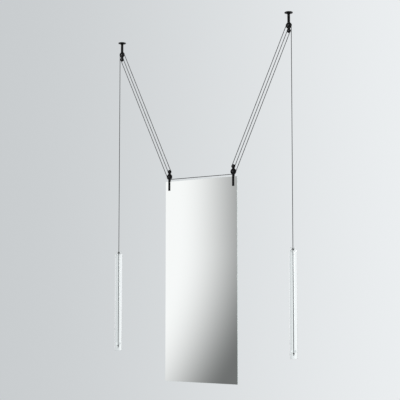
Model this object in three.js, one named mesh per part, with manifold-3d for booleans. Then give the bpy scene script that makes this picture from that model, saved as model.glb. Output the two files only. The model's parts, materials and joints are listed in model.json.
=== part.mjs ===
// A frameless wall mirror that hangs from the ceiling on one cord. The cord is reeved over two fixed blocks
// and two moving ones, and a heavy glass tube on each end balances the mirror, so it stays at any height.
// Millimetres. +X is the viewer's right, -Y is towards the viewer, +Z is up. The origin is on the ceiling,
// midway between the two ceiling plates. All the sheaves and the cord lie in the plane y = 0.

import * as THREE from 'three';
import { mergeVertices } from 'three/addons/utils/BufferGeometryUtils.js';
import Module from 'manifold-3d';

const wasm = await Module();
wasm.setup();

// ---------------------------------------------------------------- driving dimensions

// Layout
const PLATE_SPACING = 1180; // between the two ceiling plates
const UPPER_AXLE_DROP = 76; // from the ceiling to the large sheave of a fixed block
const BLOCK_DROP = 808; // from there to the large sheave of a moving block
const TUBE_DROP = 1334; // from the ceiling to the lip of a counterweight
const CORD_CREEP = 7; // the cord has run this far, so the left tube hangs higher and the right one lower

// Clearances
const GAP = 0.3; // between a piece and one that it turns in or hangs in
const SEAT = 0.1; // between two pieces that are clamped or pressed together
const PAST = 1; // how far a cut runs on past the surface

// Mirror
const MIRROR_WIDTH = 500;
const MIRROR_HEIGHT = 1200;
const BAR_INSET = 26; // from each side of the mirror to the bar that holds it
const GLASS_THICKNESS = 4;
const BACKING_THICKNESS = 0.5;
const BACKING_INSET = 2; // the backing stops this far inside the glass
const GLASS_CORNER = 1.5;
const GLASS_ARRIS = 0.6;

// Cord
const CORD_DIAMETER = 4;
const CORD_SIDES = 8;
const ARC_STEP = 15; // degrees between the rings of the cord round a sheave

// Sheaves
const LARGE_SHEAVE = 36; // outer diameters
const SMALL_SHEAVE = 23.6;
const RIM_STAND = 2.2; // the rim stands this far past the middle of the cord
const RIM_WALL = 1.5; // below the floor of the groove
const HUB_DIAMETER = 11;
const WEB_RECESS = 0.9;
const RIM_RELIEF = 0.2; // the rim is this much thinner than the hub on each side
const RIM_ROUND = 0.5; // the rim narrows by this much at its edge
const SHEAVE_CLEARANCE = 1.2; // between the two sheaves of a block
const WEB_DRAFT = 0.3; // slope at the foot of the hub and of the rim
const LARGE_SHEAVE_FACETS = 24;
const SMALL_SHEAVE_FACETS = 18;

// Axles
const AXLE_DIAMETER = 6;
const HEAD_OVERHANG = 1; // the riveted head stands this far past the shaft
const HEAD_THICKNESS = 1.2;
const SMALL_CHAMFER = 0.5;
const PIN_FACETS = 12;

// Rods and bars: a round rod, slotted for the sheaves
const ROD_DIAMETER = 16;
const SLOT_WIDTH = 7.6;
const ROD_PAST_AXLE = 8.5; // from the small sheave's axle to the rod's end
const CROTCH_CLEARANCE = 2.5; // between the large sheave and the end of the slot
const ROD_CHAMFER = 1.2;
const BRIDGE_HEIGHT = 8.2; // the solid stretch of the bar between its two slots
const CLAMP_LENGTH = 56; // the bar reaches this far down over the glass
const SPIGOT_SHOULDER = 2; // the rod's shoulder round its spigot
const SPIGOT_LENGTH = 6;
const TURNED_FACETS = 16;

// Clamp in the bar
const PAD_WIDTH = 11;
const PAD_THICKNESS = 0.8;
const PAD_END = 3; // the pads stop this far short of the bar's end and of the glass's edge
const GRUB_DIAMETER = 5;
const GRUB_RECESS = 0.3; // below the back of the bar
const GRUB_INSET = 13; // from each end of the clamped stretch to a grub screw

// Ceiling plate
const PLATE_RIM = 3; // thickness at the rim
const PLATE_THICKNESS = 5;
const BOSS_DIAMETER = 21;
const BOSS_HEIGHT = 4;
const BOSS_FILLET = 2;
const PLATE_CHAMFER = 1; // below the rim
const PLATE_FACETS = 24;
const SCREW_DIAMETER = 4;
const SCREW_HEAD = 8;
const SCREW_HEAD_HEIGHT = 2.3;
const SCREW_HEAD_EDGE = 0.3;
const SCREW_MARGIN = 1.45; // of plate on each side of a countersink

// Counterweight: a heavy-walled glass tube with a funnel lip
const TUBE_DIAMETER = 44;
const TUBE_WALL = 6.86;
const TUBE_LENGTH = 614;
const LIP_FLARE = 8.1; // the lip stands this far out from the neck
const LIP_THICKNESS = 2;
const LIP_HEIGHT = 11; // from the neck to the rim of the lip
const LIP_ROUND = 0.8;
const NECK_BORE = 13.4;
const NECK_WALL = 2.2;
const SHOULDER_HEIGHT = 13;
const SHOULDER_EASE = 3; // how far the neck runs on before it turns into the shoulder
const TUBE_END_ROUND = 1.5;
const TUBE_FACETS = 24;
const TUBE_CURVE_STEPS = 3;

// Stopper, plug and knot
const STOPPER_HEIGHT = 13;
const STOPPER_ABOVE_NECK = 7;
const STOPPER_TAPER = 0.11; // growth of the radius with height
const STOPPER_ROUND = 1.5;
const PLUG_HEIGHT = 12;
const PLUG_ABOVE_END = 36; // from the tube's lower end to the plug
const KNOT_DIAMETER = 11;
const KNOT_HEIGHT = 12;
const CORD_TIP = 6; // the cord's end below the knot
const TAIL_ABOVE_LIP = 12; // the counterweight carries its cord from here down

// ---------------------------------------------------------------- derived places

const cordRadius = CORD_DIAMETER / 2;
const rodRadius = ROD_DIAMETER / 2;
const slotHalf = SLOT_WIDTH / 2;
const hubHalf = slotHalf - GAP;
const headSeat = rodRadius - HEAD_THICKNESS - SEAT; // the flat under an axle's head, from the middle plane
const headRadius = AXLE_DIAMETER / 2 + HEAD_OVERHANG;
const axleSpacing = LARGE_SHEAVE / 2 + SHEAVE_CLEARANCE + SMALL_SHEAVE / 2;
const pitch = (diameter) => diameter / 2 - RIM_STAND;

const plateX = PLATE_SPACING / 2;
const barX = MIRROR_WIDTH / 2 - BAR_INSET;
const upperLargeZ = -UPPER_AXLE_DROP;
const upperSmallZ = upperLargeZ - axleSpacing;
const lowerLargeZ = upperLargeZ - BLOCK_DROP;
const lowerSmallZ = lowerLargeZ + axleSpacing;
const bossZ = -(PLATE_THICKNESS + BOSS_HEIGHT);
const filletRadius = BOSS_DIAMETER / 2 + BOSS_FILLET; // where the boss's fillet meets the plate
const screwX = filletRadius + SCREW_MARGIN + SCREW_HEAD / 2 + GAP; // from the middle of the plate
const plateRadius = screwX + SCREW_HEAD / 2 + GAP + SCREW_MARGIN;
const spigotRadius = rodRadius - SPIGOT_SHOULDER;
const crotch = LARGE_SHEAVE / 2 + CROTCH_CLEARANCE;
const glassDrop = crotch + BRIDGE_HEIGHT + GAP; // from a lower large sheave's axle to the top of the glass
const barLength = glassDrop + CLAMP_LENGTH; // from that axle to the lower end of the bar
const mirrorTopZ = lowerLargeZ - glassDrop;
const dropX = plateX + pitch(LARGE_SHEAVE); // the cord to the counterweight hangs here

const mirrorDepth = GLASS_THICKNESS + SEAT + BACKING_THICKNESS;
const glassFrontY = -mirrorDepth / 2;
const backingFrontY = glassFrontY + GLASS_THICKNESS + SEAT;
const clampHalf = mirrorDepth / 2 + SEAT + PAD_THICKNESS + SEAT;

// ---------------------------------------------------------------- materials

const black = new THREE.MeshStandardMaterial({ color: 0x15161a, roughness: 0.45, metalness: 0.6 });
const steel = new THREE.MeshStandardMaterial({ color: 0xb9bcc0, roughness: 0.3, metalness: 1 });
const silvered = new THREE.MeshStandardMaterial({ color: 0xe9ecec, roughness: 0.03, metalness: 1 });
const film = new THREE.MeshStandardMaterial({ color: 0x6b6f72, roughness: 0.7, metalness: 0 });
const padRubber = new THREE.MeshStandardMaterial({ color: 0x1b1b1c, roughness: 0.9, metalness: 0 });
const braid = new THREE.MeshStandardMaterial({ color: 0x55575a, roughness: 0.85, metalness: 0 });
const glass = new THREE.MeshStandardMaterial({
  color: 0xe6eeee, roughness: 0.05, metalness: 0, transparent: true, opacity: 0.35,
});
const stopperBlack = new THREE.MeshStandardMaterial({ color: 0x121214, roughness: 0.7, metalness: 0 });
const acrylic = new THREE.MeshStandardMaterial({
  color: 0xf0f4f4, roughness: 0.08, metalness: 0, transparent: true, opacity: 0.4,
});

// ---------------------------------------------------------------- shape helpers

const rad = THREE.MathUtils.degToRad;

// A closed geometry as a solid that can be joined and cut.
function toSolid(geometry) {
  const bare = geometry.index ? geometry.toNonIndexed() : geometry.clone();
  bare.deleteAttribute('normal');
  bare.deleteAttribute('uv');
  const merged = mergeVertices(bare, 1e-4);
  const corners = merged.index.array;
  const triVerts = [];
  for (let i = 0; i < corners.length; i += 3) {
    const [a, b, c] = [corners[i], corners[i + 1], corners[i + 2]];
    if (a !== b && b !== c && c !== a) triVerts.push(a, b, c);
  }
  return new wasm.Manifold(new wasm.Mesh({
    numProp: 3,
    vertProperties: merged.attributes.position.array,
    triVerts: new Uint32Array(triVerts),
  }));
}

// A solid as a flat-shaded geometry.
function toGeometry(solid) {
  const mesh = solid.getMesh();
  const geometry = new THREE.BufferGeometry();
  geometry.setAttribute('position', new THREE.BufferAttribute(new Float32Array(mesh.vertProperties), 3));
  geometry.setIndex(new THREE.BufferAttribute(new Uint32Array(mesh.triVerts), 1));
  const flat = geometry.toNonIndexed();
  flat.computeVertexNormals();
  return flat;
}

// The geometry with each of the tools cut out of it.
function cut(geometry, tools) {
  let solid = toSolid(geometry);
  for (const tool of tools) solid = solid.subtract(toSolid(tool));
  return toGeometry(solid);
}

// An outline of [radius, height] points turned about Y. It starts and ends on the axis, or is closed round.
function revolveY(outline, facets) {
  const points = outline.map(([r, z]) => new THREE.Vector2(r, z));
  if (THREE.ShapeUtils.isClockWise(points)) points.reverse();
  const onAxis = points[0].x === 0 && points.at(-1).x === 0;
  if (!onAxis) points.push(points[0].clone());
  return new THREE.LatheGeometry(points, facets);
}

// The same, turned about Z.
const revolve = (outline, facets) => revolveY(outline, facets).rotateX(Math.PI / 2);

function cylinderY(radius, fromY, toY, facets) {
  const turned = new THREE.CylinderGeometry(radius, radius, toY - fromY, facets);
  return turned.translate(0, (fromY + toY) / 2, 0);
}

function box(x, y, z) {
  const size = [x, y, z].map(([low, high]) => high - low);
  const middle = [x, y, z].map(([low, high]) => (low + high) / 2);
  return new THREE.BoxGeometry(...size).translate(...middle);
}

function roundedRectangle(width, height, radius) {
  const [x, z] = [width / 2, height / 2];
  const shape = new THREE.Shape();
  shape.moveTo(-x + radius, -z);
  shape.lineTo(x - radius, -z);
  shape.absarc(x - radius, -z + radius, radius, -Math.PI / 2, 0);
  shape.lineTo(x, z - radius);
  shape.absarc(x - radius, z - radius, radius, 0, Math.PI / 2);
  shape.lineTo(-x + radius, z);
  shape.absarc(-x + radius, z - radius, radius, Math.PI / 2, Math.PI);
  shape.lineTo(-x, -z + radius);
  shape.absarc(-x + radius, -z + radius, radius, Math.PI, 1.5 * Math.PI);
  return shape;
}

function mesh(name, geometry, material, x = 0, z = 0) {
  const made = new THREE.Mesh(geometry, material);
  made.name = name;
  made.position.set(x, 0, z);
  return made;
}

// ---------------------------------------------------------------- cord route
// Seen from the front, a cord runs round a sheave anticlockwise (turn 1) or clockwise (turn -1).

// A round tube along a line of points, with a ring at each of them.
class Route extends THREE.Curve {
  constructor(points) {
    super();
    this.points = points;
  }

  getPoint(t) {
    const place = t * (this.points.length - 1);
    const before = Math.min(Math.floor(place), this.points.length - 2);
    return this.points[before].clone().lerp(this.points[before + 1], place - before);
  }

  getUtoTmapping(u) {
    return u;
  }
}

function cordAlong(points) {
  const section = new THREE.Shape();
  section.absarc(0, 0, cordRadius, 0, 2 * Math.PI);
  const outline = section.getSpacedPoints(CORD_SIDES).slice(0, CORD_SIDES);
  const route = new Route(points);
  return new THREE.ExtrudeGeometry(new THREE.Shape(outline), {
    extrudePath: route, steps: points.length - 1, bevelEnabled: false,
  });
}

// Where the cord leaves one sheave and meets the next.
function tangent(from, to) {
  const across = new THREE.Vector2(to.x - from.x, to.z - from.z);
  const side = to.turn * to.radius - from.turn * from.radius;
  const length = Math.sqrt(across.lengthSq() - side * side);
  const along = new THREE.Vector2(
    (length * across.x + side * across.y) / across.lengthSq(),
    (length * across.y - side * across.x) / across.lengthSq(),
  );
  const touch = ({ x, z, turn, radius }) => new THREE.Vector3(
    x + turn * radius * along.y, 0, z - turn * radius * along.x,
  );
  return { leaves: touch(from), meets: touch(to) };
}

// The points of the cord round a sheave, from one point on it to another.
function wrap(sheave, start, end) {
  const angleOf = (p) => Math.atan2(p.z - sheave.z, p.x - sheave.x);
  const full = 2 * Math.PI;
  const first = angleOf(start);
  const sweep = ((sheave.turn * (angleOf(end) - first)) % full + full) % full;
  const steps = Math.ceil(sweep / rad(ARC_STEP));
  return Array.from({ length: steps + 1 }, (_, i) => {
    const angle = first + (sheave.turn * sweep * i) / steps;
    return new THREE.Vector3(
      sheave.x + sheave.radius * Math.cos(angle), 0, sheave.z + sheave.radius * Math.sin(angle),
    );
  });
}

// A straight stretch, a little short of what it meets at each end.
function stretch(start, end) {
  const trim = end.clone().sub(start).setLength(GAP);
  return [start.clone().add(trim), end.clone().sub(trim)];
}

// The right-hand half of the cord, from the counterweight to the middle of the mirror.
function rightRoute() {
  const sheaves = {
    upperLarge: { x: plateX, z: upperLargeZ, radius: pitch(LARGE_SHEAVE), turn: 1 },
    lowerSmall: { x: barX, z: lowerSmallZ, radius: pitch(SMALL_SHEAVE), turn: 1 },
    upperSmall: { x: plateX, z: upperSmallZ, radius: pitch(SMALL_SHEAVE), turn: -1 },
    lowerLarge: { x: barX, z: lowerLargeZ, radius: pitch(LARGE_SHEAVE), turn: -1 },
  };
  const inner = tangent(sheaves.upperLarge, sheaves.lowerSmall);
  const middle = tangent(sheaves.lowerSmall, sheaves.upperSmall);
  const outer = tangent(sheaves.upperSmall, sheaves.lowerLarge);
  const dropTop = new THREE.Vector3(dropX, 0, upperLargeZ);
  const underLarge = new THREE.Vector3(barX, 0, lowerLargeZ - sheaves.lowerLarge.radius);
  return {
    dropTop,
    overLarge: wrap(sheaves.upperLarge, dropTop, inner.leaves),
    fallInner: stretch(inner.leaves, inner.meets),
    underSmall: wrap(sheaves.lowerSmall, inner.meets, middle.leaves),
    fallMiddle: stretch(middle.leaves, middle.meets),
    overSmall: wrap(sheaves.upperSmall, middle.meets, outer.leaves),
    fallOuter: stretch(outer.leaves, outer.meets),
    underLarge: wrap(sheaves.lowerLarge, outer.meets, underLarge),
  };
}

const mirrored = (points) => points.map(({ x, y, z }) => new THREE.Vector3(-x, y, z));

// ---------------------------------------------------------------- ceiling plate and its screws

function ceilingPlate() {
  const boss = BOSS_DIAMETER / 2;
  const bore = spigotRadius + SEAT;
  const boreTop = bossZ + SPIGOT_LENGTH + SEAT;
  const filletMiddle = BOSS_FILLET * (1 - Math.SQRT1_2);
  const disc = revolve([
    [0, 0], [plateRadius, 0], [plateRadius, -PLATE_RIM],
    [plateRadius - PLATE_CHAMFER, -PLATE_RIM - PLATE_CHAMFER], [filletRadius, -PLATE_THICKNESS],
    [boss + filletMiddle, -PLATE_THICKNESS - filletMiddle], [boss, -PLATE_THICKNESS - BOSS_FILLET],
    [boss, bossZ], [bore, bossZ], [bore, boreTop], [0, boreTop],
  ], PLATE_FACETS);
  return cut(disc, [-1, 1].map((side) => screwHole().translate(side * screwX, 0, 0)));
}

// The height of the plate's underside, which slopes from the fillet to the rim.
function undersideAt(radius) {
  const edge = plateRadius - PLATE_CHAMFER;
  const share = (radius - filletRadius) / (edge - filletRadius);
  return -PLATE_THICKNESS + share * (PLATE_THICKNESS - PLATE_RIM - PLATE_CHAMFER);
}

const screwHeadZ = undersideAt(screwX + SCREW_HEAD / 2);

// Countersunk from below, with room for the screw all round.
function screwHole() {
  const [shank, head] = [SCREW_DIAMETER / 2 + GAP, SCREW_HEAD / 2 + GAP];
  const sinkTop = screwHeadZ + SCREW_HEAD_HEIGHT;
  const below = -PLATE_THICKNESS - PAST;
  return revolve([
    [0, PAST], [shank, PAST], [shank, sinkTop], [head, screwHeadZ], [head, below], [0, below],
  ], PIN_FACETS);
}

// It is shown as far as the ceiling's face.
function plateScrew() {
  const [shank, head] = [SCREW_DIAMETER / 2, SCREW_HEAD / 2];
  return revolve([
    [0, -SEAT], [shank, -SEAT], [shank, screwHeadZ + SCREW_HEAD_HEIGHT],
    [head, screwHeadZ + SCREW_HEAD_EDGE], [head, screwHeadZ], [0, screwHeadZ],
  ], PIN_FACETS);
}

// ---------------------------------------------------------------- rods, axles and sheaves

// What an axle needs in a slotted rod: a hole through both cheeks, and a flat for each head.
function axleCuts(z) {
  const outside = rodRadius + PAST;
  const hole = cylinderY(AXLE_DIAMETER / 2 + SEAT, -outside, outside, PIN_FACETS);
  const flats = [[-outside, -headSeat], [headSeat, outside]].map(
    ([low, high]) => cylinderY(headRadius + SEAT, low, high, PIN_FACETS),
  );
  return [hole, ...flats].map((tool) => tool.translate(0, 0, z));
}

function slot(half, low, high) {
  const outside = rodRadius + PAST;
  return box([-outside, outside], [-half, half], [low, high]);
}

// The rod of a fixed block, with the large sheave's axle at z = 0.
function hangerRod() {
  const [top, end] = [bossZ - upperLargeZ - SEAT, -axleSpacing - ROD_PAST_AXLE];
  const spigotTop = top + SPIGOT_LENGTH;
  const rod = revolve([
    [0, spigotTop], [spigotRadius - SMALL_CHAMFER, spigotTop], [spigotRadius, spigotTop - SMALL_CHAMFER],
    [spigotRadius, top], [rodRadius, top],
    [rodRadius, end + ROD_CHAMFER], [rodRadius - ROD_CHAMFER, end], [0, end],
  ], TURNED_FACETS);
  return cut(rod, [slot(slotHalf, end - PAST, crotch), ...axleCuts(0), ...axleCuts(-axleSpacing)]);
}

const grubHeights = [-glassDrop - GRUB_INSET, -barLength + GRUB_INSET];

// The bar of a moving block, with the large sheave's axle at z = 0: slotted above for the sheaves and below
// for the glass.
function mirrorBar() {
  const [top, end] = [axleSpacing + ROD_PAST_AXLE, -barLength];
  const bar = revolve([
    [0, top], [rodRadius - ROD_CHAMFER, top], [rodRadius, top - ROD_CHAMFER],
    [rodRadius, end + ROD_CHAMFER], [rodRadius - ROD_CHAMFER, end], [0, end],
  ], TURNED_FACETS);
  const grubHoles = grubHeights.map(
    (z) => cylinderY(GRUB_DIAMETER / 2 + SEAT, 0, rodRadius + PAST, PIN_FACETS).translate(0, 0, z),
  );
  return cut(bar, [
    slot(slotHalf, -crotch, top + PAST), slot(clampHalf, end - PAST, -glassDrop + GAP),
    ...axleCuts(0), ...axleCuts(axleSpacing), ...grubHoles,
  ]);
}

// A pin riveted over at both ends.
function axle() {
  const shaft = AXLE_DIAMETER / 2;
  const [seat, tip] = [headSeat + SEAT, rodRadius];
  return revolveY([
    [0, -tip], [headRadius - SMALL_CHAMFER, -tip], [headRadius, -seat], [shaft, -seat],
    [shaft, seat], [headRadius, seat], [headRadius - SMALL_CHAMFER, tip], [0, tip],
  ], PIN_FACETS);
}

// A grooved wheel on a plain bore. The large one's web is recessed between the hub and the rim.
function sheave(diameter, facets, recessed) {
  const rim = diameter / 2;
  const floor = pitch(diameter) - cordRadius - GAP;
  const hub = HUB_DIAMETER / 2;
  const bore = AXLE_DIAMETER / 2 + GAP;
  const rimHalf = hubHalf - RIM_RELIEF;
  const web = hubHalf - WEB_RECESS;
  const recess = [
    [hub + WEB_DRAFT, web], [floor - RIM_WALL, web], [floor - RIM_WALL + WEB_DRAFT, rimHalf],
  ];
  const half = [
    [bore, hubHalf], [hub, hubHalf], ...(recessed ? recess : [[hub + WEB_DRAFT, rimHalf]]),
    [rim, rimHalf - RIM_ROUND], [floor, cordRadius - GAP / 2],
  ];
  const otherHalf = half.map(([r, y]) => [r, -y]).reverse();
  return revolveY([...half, ...otherHalf], facets);
}

const largeSheave = () => sheave(LARGE_SHEAVE, LARGE_SHEAVE_FACETS, true);
const smallSheave = () => sheave(SMALL_SHEAVE, SMALL_SHEAVE_FACETS, false);

// ---------------------------------------------------------------- mirror and its clamps

function pane(width, height, frontY, depth, arris) {
  const shape = roundedRectangle(width - 2 * arris, height - 2 * arris, GLASS_CORNER);
  const slab = new THREE.ExtrudeGeometry(shape, {
    depth: depth - 2 * arris, curveSegments: 2, bevelEnabled: arris > 0,
    bevelThickness: arris, bevelSize: arris, bevelSegments: 1,
  });
  return slab.rotateX(Math.PI / 2).translate(0, frontY + depth - arris, 0);
}

function mirror() {
  const middleZ = mirrorTopZ - MIRROR_HEIGHT / 2;
  const [backWidth, backHeight] = [MIRROR_WIDTH, MIRROR_HEIGHT].map((size) => size - 2 * BACKING_INSET);
  const glassPane = pane(MIRROR_WIDTH, MIRROR_HEIGHT, glassFrontY, GLASS_THICKNESS, GLASS_ARRIS);
  const backing = pane(backWidth, backHeight, backingFrontY, BACKING_THICKNESS, 0);
  return [
    mesh('mirror_glass', glassPane, silvered, 0, middleZ),
    mesh('mirror_backing', backing, film, 0, middleZ),
  ];
}

// One of the two pads between the glass and the cheeks of the bar, with the bar's axle at z = 0.
function clampPad(side) {
  const near = mirrorDepth / 2 + SEAT;
  const depth = [near, near + PAD_THICKNESS].map((y) => side * y).sort((a, b) => a - b);
  return box([-PAD_WIDTH / 2, PAD_WIDTH / 2], depth, [-barLength + PAD_END, -glassDrop - PAD_END]);
}

// It lies in the rear cheek of the bar and presses the glass against the front one.
function grubScrew() {
  const radius = GRUB_DIAMETER / 2;
  const [tip, back] = [clampHalf, rodRadius - GRUB_RECESS];
  return revolveY([
    [0, tip], [radius - SMALL_CHAMFER, tip], [radius, tip + SMALL_CHAMFER],
    [radius, back - SMALL_CHAMFER], [radius - SMALL_CHAMFER, back], [0, back],
  ], PIN_FACETS);
}

// ---------------------------------------------------------------- counterweight, with its lip at z = 0

const neckZ = -LIP_HEIGHT;

function glassTube() {
  const [outer, inner] = [TUBE_DIAMETER / 2, TUBE_DIAMETER / 2 - TUBE_WALL];
  const [neckIn, neckOut] = [NECK_BORE / 2, NECK_BORE / 2 + NECK_WALL];
  const [lipOut, lipIn] = [neckOut + LIP_FLARE, neckOut + LIP_FLARE - LIP_THICKNESS];
  const shoulderZ = neckZ - SHOULDER_HEIGHT;
  const [easeOut, easeIn] = [neckZ - SHOULDER_EASE, neckZ - 2 * SHOULDER_EASE];
  const profile = new THREE.Path();
  profile.moveTo(lipIn, -LIP_ROUND / 2);
  profile.lineTo(lipOut - LIP_THICKNESS / 2, 0);
  profile.lineTo(lipOut, -LIP_ROUND);
  profile.quadraticCurveTo(neckOut, neckZ / 2, neckOut, neckZ);
  profile.bezierCurveTo(neckOut, easeOut, outer, easeOut, outer, shoulderZ);
  profile.lineTo(outer, -TUBE_LENGTH + TUBE_END_ROUND);
  profile.lineTo(outer - TUBE_END_ROUND, -TUBE_LENGTH);
  profile.lineTo(inner + TUBE_END_ROUND, -TUBE_LENGTH);
  profile.lineTo(inner, -TUBE_LENGTH + TUBE_END_ROUND);
  profile.lineTo(inner, shoulderZ - TUBE_WALL);
  profile.bezierCurveTo(inner, easeIn, neckIn, easeIn, neckIn, neckZ);
  profile.quadraticCurveTo(neckIn, neckZ / 2, lipIn, -LIP_ROUND / 2);
  const outline = profile.getPoints(TUBE_CURVE_STEPS).map(({ x, y }) => [x, y]);
  outline.pop();
  return revolve(outline, TUBE_FACETS);
}

// It fits the neck of the tube, with the cord through it.
function stopper() {
  const bore = cordRadius + GAP;
  const top = neckZ + STOPPER_ABOVE_NECK;
  const bottom = top - STOPPER_HEIGHT;
  const radiusAt = (z) => NECK_BORE / 2 - GAP + STOPPER_TAPER * (z - neckZ);
  return revolve([
    [bore, top], [radiusAt(top) - STOPPER_ROUND, top], [radiusAt(top), top - STOPPER_ROUND],
    [radiusAt(bottom), bottom + SMALL_CHAMFER], [radiusAt(bottom) - SMALL_CHAMFER, bottom], [bore, bottom],
  ], TURNED_FACETS);
}

const plugZ = -TUBE_LENGTH + PLUG_ABOVE_END;

function basePlug() {
  const radius = TUBE_DIAMETER / 2 - TUBE_WALL - GAP;
  const bore = cordRadius + GAP;
  const top = plugZ + PLUG_HEIGHT;
  return revolve([
    [bore, plugZ], [radius - SMALL_CHAMFER, plugZ], [radius, plugZ + SMALL_CHAMFER],
    [radius, top], [bore, top],
  ], TURNED_FACETS);
}

// The cord from above the lip down through the stopper and the plug to the knot that the plug rests on.
function tailCord() {
  const knotMiddle = plugZ - GAP - KNOT_HEIGHT / 2;
  const tip = knotMiddle - KNOT_HEIGHT / 2 - CORD_TIP;
  const knot = [45, 90, 135].map(rad).map((angle) => [
    (KNOT_DIAMETER / 2) * Math.sin(angle), knotMiddle + (KNOT_HEIGHT / 2) * Math.cos(angle),
  ]);
  return revolve([
    [0, TAIL_ABOVE_LIP], [cordRadius, TAIL_ABOVE_LIP], [cordRadius, knotMiddle + KNOT_HEIGHT / 2],
    ...knot, [cordRadius, knotMiddle - KNOT_HEIGHT / 2], [cordRadius, tip], [0, tip],
  ], CORD_SIDES);
}

// ---------------------------------------------------------------- assembly

function fixedBlock(name, side) {
  const group = new THREE.Group();
  group.position.set(side * plateX, 0, 0);
  group.add(
    mesh(`ceiling_plate_${name}`, ceilingPlate(), black),
    mesh(`plate_screw_outer_${name}`, plateScrew(), steel, side * screwX),
    mesh(`plate_screw_inner_${name}`, plateScrew(), steel, -side * screwX),
    mesh(`hanger_rod_${name}`, hangerRod(), black, 0, upperLargeZ),
    mesh(`upper_large_sheave_${name}`, largeSheave(), black, 0, upperLargeZ),
    mesh(`upper_large_axle_${name}`, axle(), steel, 0, upperLargeZ),
    mesh(`upper_small_sheave_${name}`, smallSheave(), black, 0, upperSmallZ),
    mesh(`upper_small_axle_${name}`, axle(), steel, 0, upperSmallZ),
  );
  return group;
}

function movingBlock(name, side) {
  const group = new THREE.Group();
  group.position.set(side * barX, 0, lowerLargeZ);
  group.add(
    mesh(`mirror_bar_${name}`, mirrorBar(), black),
    mesh(`lower_large_sheave_${name}`, largeSheave(), black),
    mesh(`lower_large_axle_${name}`, axle(), steel),
    mesh(`lower_small_sheave_${name}`, smallSheave(), black, 0, axleSpacing),
    mesh(`lower_small_axle_${name}`, axle(), steel, 0, axleSpacing),
    mesh(`front_pad_${name}`, clampPad(-1), padRubber),
    mesh(`rear_pad_${name}`, clampPad(1), padRubber),
    mesh(`grub_screw_upper_${name}`, grubScrew(), steel, 0, grubHeights[0]),
    mesh(`grub_screw_lower_${name}`, grubScrew(), steel, 0, grubHeights[1]),
  );
  return group;
}

function counterweight(name, x, z) {
  const group = new THREE.Group();
  group.position.set(x, 0, z);
  group.add(
    mesh(`glass_tube_${name}`, glassTube(), glass),
    mesh(`stopper_${name}`, stopper(), stopperBlack),
    mesh(`base_plug_${name}`, basePlug(), acrylic),
    mesh(`tail_cord_${name}`, tailCord(), braid),
  );
  return group;
}

function cords(name, side, tubeZ) {
  const route = rightRoute();
  const place = side > 0 ? (points) => points : mirrored;
  const tailTop = new THREE.Vector3(dropX, 0, tubeZ + TAIL_ABOVE_LIP);
  const stretches = {
    cord_over_large: route.overLarge,
    cord_over_small: route.overSmall,
    fall_inner: route.fallInner,
    fall_middle: route.fallMiddle,
    fall_outer: route.fallOuter,
    cord_under_small: route.underSmall,
    drop_cord: stretch(route.dropTop, tailTop),
  };
  return Object.entries(stretches).map(
    ([stem, points]) => mesh(`${stem}_${name}`, cordAlong(place(points)), braid),
  );
}

// The cord under both large sheaves of the moving blocks, and between them.
function crossCord() {
  const right = rightRoute().underLarge;
  return mesh('cross_cord', cordAlong([...right, ...mirrored(right).reverse()]), braid);
}

function assemble() {
  const object = new THREE.Group();
  object.add(...mirror(), crossCord());
  for (const [name, side] of [['left', -1], ['right', 1]]) {
    const tubeZ = -TUBE_DROP - side * CORD_CREEP;
    object.add(
      fixedBlock(name, side),
      movingBlock(name, side),
      counterweight(name, side * dropX, tubeZ),
      ...cords(name, side, tubeZ),
    );
  }
  return object;
}

export default assemble();
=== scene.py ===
"""A mirror that hangs from the ceiling on one cord, with a glass counterweight on each end of the cord.

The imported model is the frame. This script gives its pieces their finished shapes and materials, and adds the
camera, the lights, the floor and the room around them. Metres. +X is the viewer's right, -Y is towards the
viewer and +Z is up. The sheaves and the whole cord lie in the plane y = 0.
"""

import json
import math

import bmesh
import bpy
from mathutils import Matrix, Vector


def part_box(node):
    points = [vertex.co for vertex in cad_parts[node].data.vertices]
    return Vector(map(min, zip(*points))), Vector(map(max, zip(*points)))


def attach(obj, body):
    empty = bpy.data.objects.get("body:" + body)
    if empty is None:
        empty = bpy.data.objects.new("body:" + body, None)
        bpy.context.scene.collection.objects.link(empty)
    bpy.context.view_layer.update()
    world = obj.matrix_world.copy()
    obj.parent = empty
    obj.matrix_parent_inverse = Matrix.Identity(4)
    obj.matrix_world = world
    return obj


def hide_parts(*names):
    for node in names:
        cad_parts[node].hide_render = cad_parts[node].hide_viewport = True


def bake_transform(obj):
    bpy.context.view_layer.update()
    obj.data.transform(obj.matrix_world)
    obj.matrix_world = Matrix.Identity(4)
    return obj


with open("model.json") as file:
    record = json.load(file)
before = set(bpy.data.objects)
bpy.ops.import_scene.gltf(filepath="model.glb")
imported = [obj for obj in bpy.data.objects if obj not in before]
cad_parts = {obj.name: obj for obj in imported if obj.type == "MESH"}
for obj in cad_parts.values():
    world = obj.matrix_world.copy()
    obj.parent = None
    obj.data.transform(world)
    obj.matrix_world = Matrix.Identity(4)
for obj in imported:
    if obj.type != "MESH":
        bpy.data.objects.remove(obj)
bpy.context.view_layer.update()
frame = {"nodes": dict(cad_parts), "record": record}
record = frame["record"]

MM = 0.001
SIDES = {"left": -1, "right": 1}
BODY_OF = {node: body for body, nodes in record["behaviour"]["bodies"].items() for node in nodes}


# ---------------------------------------------------------------- camera

CAMERA_PLACE = (2.917, -4.646, -1.645)
CAMERA_YAW = 32.17  # degrees to the left of +Y
CAMERA_PITCH = 4.34  # degrees upwards
CAMERA_LENS = 83.6
CAMERA_SHIFT = 0.08


def make_camera():
    data = bpy.data.cameras.new("camera")
    data.lens = CAMERA_LENS
    data.sensor_width = 36
    data.shift_y = CAMERA_SHIFT
    camera = bpy.data.objects.new("camera", data)
    bpy.context.collection.objects.link(camera)
    camera.location = CAMERA_PLACE
    camera.rotation_euler = (math.radians(90 + CAMERA_PITCH), 0, math.radians(CAMERA_YAW))
    bpy.context.scene.camera = camera


make_camera()


# ---------------------------------------------------------------- sizes

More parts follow.
